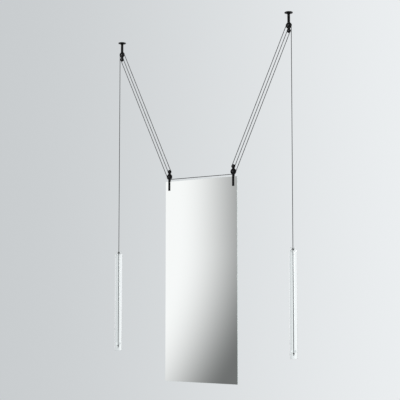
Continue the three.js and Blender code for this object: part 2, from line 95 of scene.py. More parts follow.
CORD_RADIUS = 2 * MM
RIM_STAND = 2.2 * MM  # a sheave's rim stands this far past the middle of the cord
CLEARANCE = 0.3 * MM  # round what moves or is put in loose
SEAT = 0.1 * MM  # round what sits tight
PAST = 1 * MM  # how far a cut runs on past the surface
WHEEL_STEPS = 96  # round a sheave or a plate
TUBE_STEPS = 128
ROD_STEPS = 64
PIN_STEPS = 48
SHARP = 35  # degrees from which an edge is shown sharp
BEVELLED_SHARP = 50
CORNER_SHARE = 0.45  # the most of a side that one rounded corner takes up
MERGE = 1e-7


class Span:
    """The box of a node in the frame."""

    def __init__(self, node):
        low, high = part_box(node)
        self.low, self.high = Vector(low), Vector(high)
        self.middle = (self.low + self.high) / 2
        self.size = self.high - self.low


# ---------------------------------------------------------------- mesh helpers


def finish_mesh(name, bm, sharp=SHARP):
    """The object made from a bmesh, shaded smooth except where it turns by more than the given degrees."""
    bmesh.ops.remove_doubles(bm, verts=bm.verts, dist=MERGE)
    bmesh.ops.recalc_face_normals(bm, faces=bm.faces)
    data = bpy.data.meshes.new(name)
    bm.to_mesh(data)
    bm.free()
    data.shade_smooth()
    data.set_sharp_from_angle(angle=math.radians(sharp))
    made = bpy.data.objects.new(name, data)
    bpy.context.collection.objects.link(made)
    return made


def loft(name, rings, closed=False, sharp=SHARP):
    """A skin over rings with as many points each. It closes on itself, or else has a cap at each end."""
    bm = bmesh.new()
    layer = bm.loops.layers.uv.new("UVMap")
    made = [[bm.verts.new(p) for p in ring] for ring in rings]
    sides = len(rings[0])
    travel = [0.0]
    for before, after in zip(rings, rings[1:]):
        travel.append(travel[-1] + (centre_of(after) - centre_of(before)).length)
    spans = len(made) if closed else len(made) - 1
    for i in range(spans):
        near, far = made[i], made[(i + 1) % len(made)]
        ends = (travel[i], travel[i + 1] if i + 1 < len(travel) else travel[-1])
        for j in range(sides):
            k = (j + 1) % sides
            face = bm.faces.new((near[j], near[k], far[k], far[j]))
            corners = ((j, ends[0]), (j + 1, ends[0]), (j + 1, ends[1]), (j, ends[1]))
            for corner, (around, along) in zip(face.loops, corners):
                corner[layer].uv = (around / sides, along)
    if not closed:
        bm.faces.new(made[0])
        bm.faces.new(made[-1])
    return finish_mesh(name, bm, sharp)


def centre_of(points):
    return sum((Vector(p) for p in points), Vector()) / len(points)


def soften(outline, radius, closed=False, steps=4):
    """The outline with its corners rounded. An open one keeps its first and last points."""
    made = []
    for i, corner in enumerate(outline):
        here = Vector(corner)
        if not closed and i in (0, len(outline) - 1):
            made.append(here)
            continue
        back, on = Vector(outline[i - 1]) - here, Vector(outline[(i + 1) % len(outline)]) - here
        reach = min(radius, CORNER_SHARE * back.length, CORNER_SHARE * on.length)
        start, end = here + reach * back.normalized(), here + reach * on.normalized()
        for step in range(steps + 1):
            t = step / steps
            made.append((1 - t) ** 2 * start + 2 * t * (1 - t) * here + t * t * end)
    return made


def lathe(name, outline, centre, axis="Z", closed=False, steps=WHEEL_STEPS, sharp=SHARP):
    """An outline of (radius, height) turned about an axis through the centre."""
    rings = []
    for radius, height in outline:
        reach = max(radius, 0)
        ring = []
        for j in range(steps):
            angle = 2 * math.pi * j / steps
            x, y = reach * math.cos(angle), reach * math.sin(angle)
            point = Vector((x, y, height)) if axis == "Z" else Vector((x, height, y))
            ring.append(Vector(centre) + point)
        rings.append(ring)
    return loft(name, rings, closed, sharp)


def block(name, low, high):
    """A plain box between two corners."""
    bm = bmesh.new()
    bmesh.ops.create_cube(bm, size=1)
    low, high = Vector(low), Vector(high)
    for vertex in bm.verts:
        vertex.co = Vector(low[i] + (vertex.co[i] + 0.5) * (high[i] - low[i]) for i in range(3))
    return finish_mesh(name, bm)


def bar_y(name, radius, low, high, x, z, steps=PIN_STEPS):
    """A round bar along Y."""
    return lathe(name, [(radius, low), (radius, high)], (x, 0, z), axis="Y", steps=steps)


def apply_modifiers(piece):
    graph = bpy.context.evaluated_depsgraph_get()
    data = bpy.data.meshes.new_from_object(piece.evaluated_get(graph))
    old = piece.data
    piece.modifiers.clear()
    piece.data = data
    bpy.data.meshes.remove(old)


def carve(piece, cutters):
    """Cuts the other objects out of a piece and removes them."""
    for cutter in cutters:
        change = piece.modifiers.new("cut", "BOOLEAN")
        change.operation = "DIFFERENCE"
        change.solver = "EXACT"
        change.object = cutter
    apply_modifiers(piece)
    for cutter in cutters:
        bpy.data.meshes.remove(cutter.data)
    return piece


def bevel(piece, width):
    """Breaks the sharp edges of a piece."""
    change = piece.modifiers.new("edge", "BEVEL")
    change.width = width
    change.segments = 2
    change.limit_method = "ANGLE"
    change.angle_limit = math.radians(SHARP)
    change.use_clamp_overlap = True
    apply_modifiers(piece)
    piece.data.shade_smooth()
    piece.data.set_sharp_from_angle(angle=math.radians(BEVELLED_SHARP))
    return piece


def stand_for(piece, material, node, ride=True):
    """The piece takes the place of a CAD node and on its body."""
    piece.data.materials.clear()
    piece.data.materials.append(material)
    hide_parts(node)
    if ride:
        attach(piece, BODY_OF[node])
    return piece


# ---------------------------------------------------------------- material helpers

NOISE_RANGE = (0.3, 0.7)  # nearly all of a noise lies in it


class Tree:
    """Short ways to add nodes to a node tree."""

    def __init__(self, tree):
        self.nodes = tree.nodes
        self.links = tree.links

    def feed(self, value, socket):
        """Joins an output to the socket, or sets it to a number or colour."""
        if isinstance(value, bpy.types.NodeSocket):
            self.links.new(value, socket)
        else:
            socket.default_value = value

    def math(self, operation, *values):
        node = self.nodes.new("ShaderNodeMath")
        node.operation = operation
        for value, socket in zip(values, node.inputs):
            self.feed(value, socket)
        return node.outputs[0]

    def spread(self, value, start, end, low, high, kind="LINEAR"):
        """A number from low to high as the value goes from start to end."""
        node = self.nodes.new("ShaderNodeMapRange")
        node.interpolation_type = kind
        self.links.new(value, node.inputs["Value"])
        sockets = ("From Min", "From Max", "To Min", "To Max")
        for socket, number in zip(sockets, (start, end, low, high)):
            node.inputs[socket].default_value = number
        return node.outputs[0]


class Surface(Tree):
    """A Principled material."""

    def __init__(self, name, colour, roughness, metallic=0.0):
        self.material = bpy.data.materials.new(name)
        self.material.use_nodes = True
        super().__init__(self.material.node_tree)
        self.shader = self.nodes["Principled BSDF"]
        self.set("Base Color", (*colour, 1))
        self.set("Roughness", roughness)
        self.set("Metallic", metallic)

    def set(self, socket, value):
        self.shader.inputs[socket].default_value = value

    def join(self, output, socket):
        self.links.new(output, self.shader.inputs[socket])

    def add(self, kind, **inputs):
        node = self.nodes.new(kind)
        for key, value in inputs.items():
            self.feed(value, node.inputs[key])
        return node

    def coordinates(self, kind="Object", stretch=(1, 1, 1)):
        source = self.nodes.new("ShaderNodeTexCoord").outputs[kind]
        mapping = self.nodes.new("ShaderNodeMapping")
        mapping.inputs["Scale"].default_value = stretch
        self.links.new(source, mapping.inputs["Vector"])
        return mapping.outputs[0]

    def noise(self, scale, detail=2.0, where=None):
        vector = where or self.coordinates()
        return self.add("ShaderNodeTexNoise", Vector=vector, Scale=scale, Detail=detail).outputs["Fac"]

    def between(self, factor, low, high):
        """A number from low to high over the factor's usual range."""
        return self.spread(factor, *NOISE_RANGE, low, high)

    def tint(self, factor, low, high):
        """A base colour from low to high over the factor's usual range."""
        ramp = self.nodes.new("ShaderNodeValToRGB")
        self.links.new(factor, ramp.inputs["Fac"])
        for stop, place, colour in zip(ramp.color_ramp.elements, NOISE_RANGE, (low, high)):
            stop.position = place
            stop.color = (*colour, 1)
        self.join(ramp.outputs["Color"], "Base Color")

    def bump(self, height, distance, strength=1.0):
        node = self.add("ShaderNodeBump", Height=height, Distance=distance, Strength=strength)
        self.join(node.outputs["Normal"], "Normal")


# ---------------------------------------------------------------- materials


def powder_coat():
    """Deep black, with the faint orange peel of baked powder."""
    made = Surface("black_powder_coat", (0.003, 0.003, 0.0035), 0.42)
    made.tint(made.noise(160), (0.002, 0.002, 0.0024), (0.004, 0.004, 0.0046))
    made.join(made.between(made.noise(420), 0.36, 0.5), "Roughness")
    made.bump(made.noise(1400, 3), 0.03 * MM, 0.35)
    made.set("Specular IOR Level", 0.08)
    return made.material


TURNING_PITCH = 0.22 * MM


def turned_black(diameter):
    """Black anodised metal with the fine rings that turning leaves round the axis of a sheave."""
    made = Surface("black_turned_%d" % round(diameter / MM), (0.004, 0.004, 0.0045), 0.34, 0.3)
    where = made.coordinates("Generated")
    split = made.add("ShaderNodeSeparateXYZ", Vector=where)
    across = [made.math("SUBTRACT", split.outputs[i], 0.5) for i in ("X", "Z")]
    squares = [made.math("MULTIPLY", value, value) for value in across]
    radius = made.math("MULTIPLY", made.math("SQRT", made.math("ADD", *squares)), diameter)
    rings = made.math("SINE", made.math("MULTIPLY", radius, 2 * math.pi / TURNING_PITCH))
    made.tint(made.noise(300, 3), (0.003, 0.003, 0.0035), (0.007, 0.007, 0.0078))
    made.join(made.between(made.noise(900, 3), 0.27, 0.42), "Roughness")
    made.bump(rings, 0.006 * MM, 0.6)
    made.set("Specular IOR Level", 0.1)
    return made.material


def blackened_steel():
    """Blackened steel, finely brushed and a little brighter in places."""
    shade = 0.055
    made = Surface("blackened_steel", (shade, shade, shade), 0.3, 1.0)
    lines = made.noise(900, 2, made.coordinates(stretch=(0.15, 1, 3)))
    dull, bright = (tuple(k * shade * c for c in (1, 1.015, 1.04)) for k in (0.84, 1.1))
    made.tint(made.noise(500, 3), dull, bright)
    made.join(made.between(lines, 0.2, 0.38), "Roughness")
    made.bump(lines, 0.01 * MM, 0.4)
    return made.material


def silvering():
    """The reflecting face. Float glass is flat to the eye, so only a trace of haze breaks it."""
    made = Surface("silvered_face", (0.925, 0.94, 0.935), 0.015, 1.0)
    made.join(made.between(made.noise(3, 3), 0.008, 0.022), "Roughness")
    return made.material


def polished_edge():
    """The ground and polished edge, where the glass shows its faint green."""
    made = Surface("polished_edge", (0.60, 0.70, 0.67), 0.12)
    made.tint(made.noise(40, 3), (0.52, 0.63, 0.60), (0.68, 0.76, 0.74))
    made.join(made.between(made.noise(300, 2), 0.06, 0.2), "Roughness")
    made.set("IOR", 1.52)
    made.set("Coat Weight", 0.6)
    made.set("Coat Roughness", 0.04)
    return made.material


def backing_paint():
    """Grey mirror paint under a clear safety film, with the film's faint orange peel."""
    made = Surface("backing_film", (0.19, 0.20, 0.21), 0.32)
    made.tint(made.noise(9, 4), (0.183, 0.193, 0.203), (0.197, 0.207, 0.217))
    made.join(made.between(made.noise(60, 3), 0.26, 0.42), "Roughness")
    made.bump(made.noise(420, 3), 0.05 * MM, 0.3)
    made.set("Coat Weight", 0.25)
    made.set("Coat Roughness", 0.2)
    return made.material


def rubber(name, colour, grain):
    """Matt rubber, with a grain that has the given number of bumps to the metre."""
    made = Surface(name, colour, 0.75)
    low, high = (tuple(c * k for c in colour) for k in (0.75, 1.4))
    made.tint(made.noise(260, 4), low, high)
    made.join(made.between(made.noise(600, 3), 0.62, 0.85), "Roughness")
    made.bump(made.noise(grain, 3), 0.06 * MM, 0.5)
    made.set("Specular IOR Level", 0.18)
    return made.material


BRAID_STRANDS = 8  # in each direction
BRAID_PITCH = 2 * MM  # from one strand to the next, along the cord


def braid():
    """A round braid of dark yarn. Its strands wind both ways round, and pass over each other by turns. Its
    colour carries painted shade: darker between the strands and lighter on their crowns.
    """
    made = Surface("dark_braid", (0.022, 0.022, 0.024), 0.72)
    split = made.add("ShaderNodeSeparateXYZ", Vector=made.coordinates("UV"))
    around = made.math("MULTIPLY", split.outputs["X"], BRAID_STRANDS)
    along = made.math("DIVIDE", split.outputs["Y"], BRAID_PITCH)
    ways = [made.math("ADD", around, along), made.math("SUBTRACT", around, along)]
    over = made.math("PINGPONG", made.math("ADD", *[made.math("FLOOR", way) for way in ways]), 1)
    waves = [made.math("SINE", made.math("MULTIPLY", way, math.pi)) for way in ways]
    crowns = [made.math("ABSOLUTE", wave) for wave in waves]
    under = made.math("SUBTRACT", 1, over)
    height = made.math(
        "ADD", made.math("MULTIPLY", crowns[0], over), made.math("MULTIPLY", crowns[1], under)
    )
    fibre = made.noise(5200, 2)
    relief_and_painted_shade = made.math("ADD", made.math("MULTIPLY", height, 0.8), made.math("MULTIPLY", fibre, 0.25))
    # painted shade: the colour follows the strands' height, darker in the hollows between them and lighter on
    # the crowns, with the fibre's random tone on top
    made.tint(relief_and_painted_shade, (0.008, 0.008, 0.009), (0.036, 0.037, 0.039))
    made.join(made.between(fibre, 0.62, 0.82), "Roughness")
    made.bump(relief_and_painted_shade, 0.22 * MM, 0.8)
    made.set("Specular IOR Level", 0.2)
    return made.material


def clear_glass():
    """Clear drawn glass, smooth and fire-polished, with the faintest tint that runs along it."""
    made = Surface("clear_glass", (0.985, 0.995, 0.99), 0.0)
    made.set("Transmission Weight", 1.0)
    made.set("IOR", 1.47)
    drawn = made.noise(4, 3, made.coordinates(stretch=(1, 1, 0.1)))
    made.tint(drawn, (0.975, 0.99, 0.985), (0.99, 0.998, 0.995))
    return made.material


def clear_plastic():
    """Clear turned plastic, a little dulled by its turning."""
    made = Surface("clear_plastic", (0.95, 0.965, 0.965), 0.05)
    made.set("Transmission Weight", 1.0)
    made.set("IOR", 1.49)
    made.join(made.between(made.noise(700, 3), 0.03, 0.14), "Roughness")
    return made.material


BLACK = powder_coat()
STEEL = blackened_steel()
SILVER = silvering()
EDGE = polished_edge()
PAD = rubber("clamp_rubber", (0.02, 0.02, 0.02), grain=1500)
STOPPER = rubber("stopper_rubber", (0.006, 0.006, 0.0065), grain=900)
BRAID = braid()
GLASS = clear_glass()
PLASTIC = clear_plastic()


# ---------------------------------------------------------------- ceiling plates

PLATE_RIM = 3 * MM
PLATE_MIDDLE = 5 * MM
BOSS_RADIUS = 10.5 * MM
BOSS_FILLET = 2 * MM
PLATE_EDGE = 1 * MM
PLATE_ROUND = 0.5 * MM
SCREW_RADIUS = 4 * MM
SCREW_SHANK = 2 * MM
SINK_DEPTH = 2.3 * MM
SINK_LAND = 0.35 * MM  # the straight edge of a screw's head
SINK_EASE = 0.25 * MM
RECESS_REACH = 2.2 * MM
RECESS_HALF = 0.45 * MM
RECESS_DEPTH = 1.4 * MM
RECESS_TURN = {"outer": 28, "inner": 71}  # degrees


def arc(centre, radius, start, end, steps=6):
    """Points on an arc in the plane of an outline, between two angles in degrees."""
    angles = [math.radians(start + (end - start) * i / steps) for i in range(steps + 1)]
    return [(centre[0] + radius * math.cos(a), centre[1] + radius * math.sin(a)) for a in angles]


def ceiling_plate(side):
    node = f"ceiling_plate_{side}"
    plate = Span(node)
    radius, depth = plate.size.x / 2, plate.size.z
    fillet = (BOSS_RADIUS + BOSS_FILLET, -PLATE_MIDDLE - BOSS_FILLET)
    outline = [
        (0, 0), (radius, 0), (radius, -PLATE_RIM), (radius - PLATE_EDGE, -PLATE_RIM - PLATE_EDGE),
        *arc(fillet, BOSS_FILLET, 90, 180), (BOSS_RADIUS, -depth), (0, -depth),
    ]
    made = lathe(node + "_turned", soften(outline, PLATE_ROUND), (plate.middle.x, 0, 0), sharp=60)
    holes = []
    for place in ("outer", "inner"):
        screw = Span(f"plate_screw_{place}_{side}")
        sink = [
            (0, PAST), (SCREW_SHANK + CLEARANCE, PAST),
            (SCREW_SHANK + CLEARANCE, screw.low.z + SINK_DEPTH),
            (SCREW_RADIUS + CLEARANCE, screw.low.z), (SCREW_RADIUS + CLEARANCE, -depth), (0, -depth),
        ]
        holes.append(lathe("hole", sink, (screw.middle.x, 0, 0), steps=PIN_STEPS))
    stand_for(carve(made, holes), BLACK, node)


def plate_screw(place, side):
    """A countersunk screw with a cross recess."""
    node = f"plate_screw_{place}_{side}"
    screw = Span(node)
    bottom = screw.low.z
    outline = [
        (0, screw.high.z), (SCREW_SHANK, screw.high.z), (SCREW_SHANK, bottom + SINK_DEPTH),
        (SCREW_RADIUS, bottom + SINK_LAND), (SCREW_RADIUS - SINK_EASE, bottom), (0, bottom),
    ]
    made = lathe(node + "_head", outline, (screw.middle.x, 0, 0), steps=PIN_STEPS)
    turn = math.radians(RECESS_TURN[place])
    cutters = []
    for quarter in (0, math.pi / 2):
        low, high = (-RECESS_REACH, -RECESS_HALF, -PAST), (RECESS_REACH, RECESS_HALF, RECESS_DEPTH)
        arm = block("arm", low, high)
        arm.data.transform(
            Matrix.Translation((screw.middle.x, 0, bottom)) @ Matrix.Rotation(turn + quarter, 4, "Z")
        )
        cutters.append(arm)
    stand_for(carve(made, cutters), STEEL, node)


# ---------------------------------------------------------------- rods and bars

AXLE_RADIUS = 3 * MM
HEAD_RADIUS = 4 * MM
HEAD_THICKNESS = 1.2 * MM
SLOT_WIDTH = 7.6 * MM
ROD_RADIUS = 8 * MM
ROD_EDGE = 1.2 * MM
SPIGOT_RADIUS = 6 * MM
SPIGOT_LENGTH = 6 * MM
CROTCH = 20.5 * MM  # from the axle of a large sheave to the end of its slot
EDGE_BREAK = 0.25 * MM
DIMPLE = [(0, 0.3 * MM), (0.9 * MM, 0.22 * MM), (1.4 * MM, 0)]  # (radius, depth) in an axle's head
CROWN_START = 0.9 * MM  # from the head's edge, where it begins to fall away
CROWN_FALL = 0.05 * MM
CROWN_EDGE = 0.5 * MM
HEAD_ROUND = 0.3 * MM


def axle_cuts(x, z):
    """The hole for an axle, and a flat for each of its heads."""
    seat = ROD_RADIUS - HEAD_THICKNESS - SEAT
    outside = ROD_RADIUS + PAST
    return [
        bar_y("hole", AXLE_RADIUS + SEAT, -outside, outside, x, z),
        bar_y("flat", HEAD_RADIUS + SEAT, seat, outside, x, z),
        bar_y("flat", HEAD_RADIUS + SEAT, -outside, -seat, x, z),
    ]


def slot_cut(x, low, high, width=SLOT_WIDTH):
    """A slot through the rod from side to side."""
    outside = ROD_RADIUS + PAST
    return block("slot", (x - outside, -width / 2, low), (x + outside, width / 2, high))


def hanger_rod(side):
    node = f"hanger_rod_{side}"
    rod = Span(node)
    large, small = Span(f"upper_large_axle_{side}").middle, Span(f"upper_small_axle_{side}").middle
    shoulder = rod.high.z - SPIGOT_LENGTH
    outline = [
        (0, rod.high.z), (SPIGOT_RADIUS, rod.high.z), (SPIGOT_RADIUS, shoulder), (ROD_RADIUS, shoulder),
        (ROD_RADIUS, rod.low.z), (0, rod.low.z),
    ]
    made = lathe(node + "_turned", soften(outline, ROD_EDGE), (rod.middle.x, 0, 0), steps=ROD_STEPS)
    cuts = [slot_cut(rod.middle.x, rod.low.z - PAST, large.z + CROTCH)]
    carve(made, cuts + axle_cuts(rod.middle.x, large.z) + axle_cuts(rod.middle.x, small.z))
    stand_for(bevel(made, EDGE_BREAK), BLACK, node)


def mirror_bar(side):
    """Slotted above for the sheaves and below for the glass, with a tapped hole for each grub screw."""
    node = f"mirror_bar_{side}"
    bar = Span(node)
    x = bar.middle.x
    large, small = Span(f"lower_large_axle_{side}").middle, Span(f"lower_small_axle_{side}").middle
    outline = [
        (0, bar.high.z), (ROD_RADIUS, bar.high.z), (ROD_RADIUS, bar.low.z), (0, bar.low.z),
    ]
    made = lathe(node + "_turned", soften(outline, ROD_EDGE), (x, 0, 0), steps=ROD_STEPS)
    glass_top = Span("mirror_glass").high.z
    pads = Span(f"rear_pad_{side}").high.y + SEAT
    cuts = [
        slot_cut(x, large.z - CROTCH, bar.high.z + PAST),
        slot_cut(x, bar.low.z - PAST, glass_top + CLEARANCE, 2 * pads),
    ]
    for place in ("upper", "lower"):
        grub = Span(f"grub_screw_{place}_{side}")
        cuts.append(bar_y("tap", grub.size.x / 2 + SEAT, 0, ROD_RADIUS + PAST, x, grub.middle.z))
    carve(made, cuts + axle_cuts(x, large.z) + axle_cuts(x, small.z))
    stand_for(bevel(made, EDGE_BREAK), BLACK, node)


def axle(name, side):
    """Riveted over at both ends, with the shallow dimple of the riveting tool."""
    node = f"{name}_axle_{side}"
    pin = Span(node)
    half, seat = pin.size.y / 2, pin.size.y / 2 - HEAD_THICKNESS
    head = [
        *[(radius, half - depth) for radius, depth in DIMPLE],
        (HEAD_RADIUS - CROWN_START, half - CROWN_FALL), (HEAD_RADIUS, half - CROWN_EDGE),
        (HEAD_RADIUS, seat), (AXLE_RADIUS, seat),
    ]
    outline = soften(head + [(r, -y) for r, y in reversed(head)], HEAD_ROUND)
    centre = (pin.middle.x, 0, pin.middle.z)
    stand_for(lathe(node + "_riveted", outline, centre, axis="Y", steps=PIN_STEPS), STEEL, node)


# ---------------------------------------------------------------- sheaves

HUB_RADIUS = 5.5 * MM
RIM_WALL = 1.5 * MM
WEB_RECESS = 0.9 * MM
RIM_RELIEF = 0.2 * MM
RIM_EDGE = 0.45 * MM
WEB_DRAFT = 0.3 * MM
WHEEL_ROUND = 0.35 * MM
GROOVE_CLEARANCE = 0.15 * MM
GROOVE_FLARE = 52  # degrees of the groove's round on each side of its floor


def sheave(name, side, material, recessed):
    """A grooved wheel: a round groove that fits the cord, a rounded rim, a web and a raised hub."""
    node = f"{name}_sheave_{side}"
    wheel = Span(node)
    rim, hub_half = wheel.size.z / 2, wheel.size.y / 2
    pitch = rim - RIM_STAND
    groove = CORD_RADIUS + GROOVE_CLEARANCE
    floor = pitch - groove
    rim_half, web = hub_half - RIM_RELIEF, hub_half - WEB_RECESS
    bore = AXLE_RADIUS + CLEARANCE
    face = [(bore, hub_half), (HUB_RADIUS, hub_half)]
    if recessed:
        inner_rim = floor - RIM_WALL
        face += [(HUB_RADIUS + WEB_DRAFT, web), (inner_rim, web), (inner_rim + WEB_DRAFT, rim_half)]
    else:
        face += [(HUB_RADIUS + WEB_DRAFT, rim_half)]
    half = soften(face + [(rim, rim_half), (rim, rim_half - RIM_EDGE)], WHEEL_ROUND)
    half += arc((pitch, 0), groove, 180 - GROOVE_FLARE, 180, 10)
    outline = half + [(r, -y) for r, y in reversed(half[:-1])]
    centre = (wheel.middle.x, 0, wheel.middle.z)
    stand_for(lathe(node + "_grooved", outline, centre, axis="Y", closed=True), material, node)


# ---------------------------------------------------------------- mirror

GLASS_CORNER = 1.5 * MM
ARRIS = 0.6 * MM
PAD_ROUND = 0.15 * MM
GRUB_TIP = 0.5 * MM
GRUB_EDGE = 0.3 * MM
SOCKET_RADIUS = 1.15 * MM
SOCKET_DEPTH = 1.4 * MM
HEXAGON = 6


def rounded_rectangle(span, inset, y):
    """A ring of points round the pane, at the given y and so far in from its edge."""
    points = []
    corners = (
        (span.high.x, span.high.z, 0), (span.low.x, span.high.z, 90),
        (span.low.x, span.low.z, 180), (span.high.x, span.low.z, 270),
    )
    for x, z, start in corners:
        inward = Vector((math.copysign(1, span.middle.x - x), 0, math.copysign(1, span.middle.z - z)))
        centre = Vector((x, y, z)) + (GLASS_CORNER + inset) * inward
        for across, up in arc((centre.x, centre.z), GLASS_CORNER, start, start + 90, 5):
            points.append(Vector((across, y, up)))
    return points


def mirror_glass():
    """The pane, silvered face forward, with polished arrises. What reflects has its own material."""
    pane = Span("mirror_glass")
    front, back = pane.low.y, pane.high.y
    rings = [
        rounded_rectangle(pane, ARRIS, front), rounded_rectangle(pane, 0, front + ARRIS),
        rounded_rectangle(pane, 0, back - ARRIS), rounded_rectangle(pane, ARRIS, back),
    ]
    made = stand_for(loft("mirror_pane", rings, sharp=20), EDGE, "mirror_glass")
    made.data.materials.append(SILVER)
    for face in made.data.polygons:
        if face.normal.y < -0.9:  # the front, without its arrises
            face.material_index = 1


def pad(place, side):
    node = f"{place}_pad_{side}"
    span = Span(node)
    made = block(node + "_cut", span.low, span.high)
    stand_for(bevel(made, PAD_ROUND), PAD, node)


def grub_screw(place, side):
    """A set screw with a hexagon socket."""
    node = f"grub_screw_{place}_{side}"
    screw = Span(node)
    radius = screw.size.x / 2
    tip, back = screw.low.y, screw.high.y
    outline = [
        (0, tip), (radius - GRUB_TIP, tip), (radius, tip + GRUB_TIP),
        (radius, back - GRUB_EDGE), (radius - GRUB_EDGE, back), (0, back),
    ]
    centre = (screw.middle.x, 0, screw.middle.z)
    made = lathe(node + "_set", outline, centre, axis="Y", steps=PIN_STEPS)
    depth = (back - SOCKET_DEPTH, back + PAST)
    socket = bar_y("socket", SOCKET_RADIUS, *depth, screw.middle.x, screw.middle.z, HEXAGON)
    stand_for(carve(made, [socket]), STEEL, node)


# ---------------------------------------------------------------- cord
# Seen from the front, the cord on its way from the right weight to the cross cord runs round a sheave
# anticlockwise (turn 1) or clockwise (turn -1). The left side is the mirror image.

CORD_SIDES = 20
KNOT_SIDES = 16
ARC_STEP = 4  # degrees


class Wheel:
    """A sheave as the cord meets it."""

    def __init__(self, name, side, turn):
        wheel = Span(f"{name}_sheave_{side}")
        self.x, self.z = wheel.middle.x, wheel.middle.z
        self.radius = wheel.size.z / 2 - RIM_STAND
        self.turn = turn * SIDES[side]

    def at(self, angle):
        return Vector((self.x + self.radius * math.cos(angle), 0, self.z + self.radius * math.sin(angle)))

    def angle_of(self, point):
        return math.atan2(point.z - self.z, point.x - self.x)

    def wrap(self, start, end):
        """The points of the cord round the sheave, from one point on it to another."""
        first = self.angle_of(start)
        sweep = (self.turn * (self.angle_of(end) - first)) % (2 * math.pi)
        steps = math.ceil(sweep / math.radians(ARC_STEP))
        return [self.at(first + self.turn * sweep * i / steps) for i in range(steps + 1)]


def tangent(first, second):
    """Where the cord leaves one sheave and meets the next."""
    x, z = second.x - first.x, second.z - first.z
    side = second.turn * second.radius - first.turn * first.radius
    square = x * x + z * z
    length = math.sqrt(square - side * side)
    along = Vector(((length * x + side * z) / square, 0, (length * z - side * x) / square))
    return [
        Vector((w.x + w.turn * w.radius * along.z, 0, w.z - w.turn * w.radius * along.x))
        for w in (first, second)
    ]


def tube(name, path, sides=CORD_SIDES):
    """The round cord along a line of points, without twist."""
    rings, normal = [], Vector((0, 1, 0))
    for i, point in enumerate(path):
        along = (path[min(i + 1, len(path) - 1)] - path[max(i - 1, 0)]).normalized()
        normal = (normal - normal.dot(along) * along).normalized()
        across = along.cross(normal)
        angles = [2 * math.pi * j / sides for j in range(sides)]
        ways = [math.cos(angle) * normal + math.sin(angle) * across for angle in angles]
        rings.append([point + CORD_RADIUS * way for way in ways])
    return loft(name, rings)


def cord(node, path):
    stand_for(tube(node + "_braid", path), BRAID, node)


def stretching(node, path):
    """A straight stretch between two bodies. Its only rings are at its ends, so it stays straight."""
    made = stand_for(tube(node + "_braid", path), BRAID, node, ride=False)
    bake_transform(made)


def half_route(side):
    """The cord from the counterweight on one side to under the mirror's large sheave on that side."""
    upper_large, lower_small = Wheel("upper_large", side, 1), Wheel("lower_small", side, 1)
    upper_small, lower_large = Wheel("upper_small", side, -1), Wheel("lower_large", side, -1)
    inner = tangent(upper_large, lower_small)
    middle = tangent(lower_small, upper_small)
    outer = tangent(upper_small, lower_large)
    drop = Vector((upper_large.x + SIDES[side] * upper_large.radius, 0, upper_large.z))
    under = Vector((lower_large.x, 0, lower_large.z - lower_large.radius))
    tail = Span(f"tail_cord_{side}")
    cord(f"cord_over_large_{side}", upper_large.wrap(drop, inner[0]))
    cord(f"cord_under_small_{side}", lower_small.wrap(inner[1], middle[0]))
    cord(f"cord_over_small_{side}", upper_small.wrap(middle[1], outer[0]))
    stretching(f"fall_inner_{side}", inner)
    stretching(f"fall_middle_{side}", middle[::-1])
    stretching(f"fall_outer_{side}", outer)
    hang = [drop, Vector((drop.x, 0, tail.high.z))]
    stretching(f"drop_cord_{side}", hang)
    return lower_large.wrap(outer[1], under)


def cross_cord():
    left, right = half_route("left"), half_route("right")
    cord("cross_cord", left + right[::-1])


# ---------------------------------------------------------------- counterweights, with the lip at z = 0

TUBE_WALL = 6.86 * MM
NECK_DEPTH = 11 * MM
NECK_BORE = 6.7 * MM
NECK_OUTSIDE = 8.9 * MM
LIP_RADIUS = 17 * MM
LIP_THICKNESS = 2 * MM
LIP_ROUND = 0.8 * MM
SHOULDER = 13 * MM
SHOULDER_EASE = 3 * MM
END_ROUND = 1.5 * MM
STOPPER_TAPER = 0.11  # growth of the radius with height
STOPPER_ROUND = 1.2 * MM
PLUG_ROUND = 0.6 * MM
KNOT_REACH = 6 * MM  # from the middle of the knot to its top


def curve(*points, steps=16):
    """Points on a Bezier curve of any degree."""
    made = []
    for step in range(steps + 1):
        t = step / steps
        row = [Vector(p) for p in points]
        while len(row) > 1:
            row = [a.lerp(b, t) for a, b in zip(row, row[1:])]
        made.append(row[0])
    return made


def glass_tube(side):
    """A heavy-walled tube, open below, drawn in to a neck above and flared into a lip."""
    node = f"glass_tube_{side}"
    span = Span(node)
    outer, length = span.size.x / 2, span.size.z
    inner = outer - TUBE_WALL
    lip_in = LIP_RADIUS - LIP_THICKNESS
    neck, shoulder = -NECK_DEPTH, -NECK_DEPTH - SHOULDER
    ease, deep_ease = neck - SHOULDER_EASE, neck - 2 * SHOULDER_EASE
    crest = (lip_in + LIP_THICKNESS / 2, 0.6 * LIP_ROUND)
    rim = curve((lip_in, -LIP_ROUND / 2), crest, (LIP_RADIUS, -LIP_ROUND))
    outline = [
        *[(p.x, min(p.y, 0)) for p in rim],
        *curve((LIP_RADIUS, -LIP_ROUND), (NECK_OUTSIDE, neck / 2), (NECK_OUTSIDE, neck))[1:],
        *curve((NECK_OUTSIDE, neck), (NECK_OUTSIDE, ease), (outer, ease), (outer, shoulder))[1:],
        *soften([(outer, shoulder), (outer, -length), (inner, -length), (inner, shoulder)], END_ROUND)[1:-1],
        *curve((inner, shoulder - TUBE_WALL), (inner, deep_ease), (NECK_BORE, deep_ease), (NECK_BORE, neck)),
        *curve((NECK_BORE, neck), (NECK_BORE, neck / 2), (lip_in, -LIP_ROUND / 2))[1:-1],
    ]
    centre = (span.middle.x, 0, span.high.z)
    made = lathe(node + "_drawn", outline, centre, closed=True, steps=TUBE_STEPS, sharp=80)
    stand_for(made, GLASS, node)


